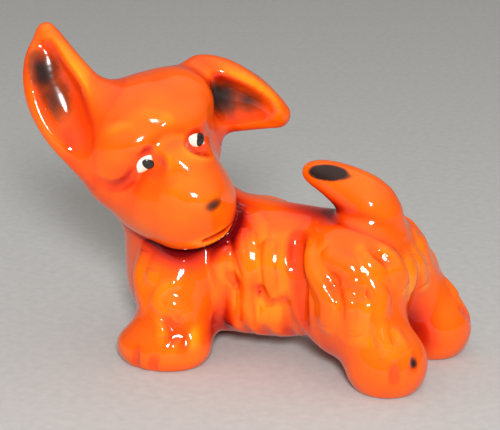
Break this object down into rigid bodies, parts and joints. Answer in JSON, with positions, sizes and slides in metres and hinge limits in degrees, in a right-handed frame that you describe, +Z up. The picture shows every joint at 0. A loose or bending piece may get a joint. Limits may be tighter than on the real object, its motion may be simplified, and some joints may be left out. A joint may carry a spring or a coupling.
{
  "type": "glazed pottery dog figurine",
  "caption": "Small glossy pottery terrier standing on thick legs, head turned back over its left shoulder, large cupped ears spread and a short tail curled forward.",
  "frame": {"origin": "on the ground, under the middle of the figure's box", "axes": "+X from the chest to the rump, so the dog's chest faces -X; +Y to the dog's right, so it looks back towards -Y; +Z up"},
  "size_m": [0.1028, 0.0514, 0.0817],
  "materials": {
    "orange_glaze": "high gloss",
    "white_enamel": "satin gloss",
    "black_enamel": "gloss"
  },
  "bodies": {
    "root": {"torso": "orange_glaze", "head": "orange_glaze", "right_ear": "orange_glaze", "left_ear": "orange_glaze", "tail": "orange_glaze", "front_left_leg": "orange_glaze", "front_right_leg": "orange_glaze", "hind_left_leg": "orange_glaze", "hind_right_leg": "orange_glaze", "right_eye_white": "white_enamel", "left_eye_white": "white_enamel", "right_pupil": "black_enamel", "left_pupil": "black_enamel"}
  },
  "joints": []
}
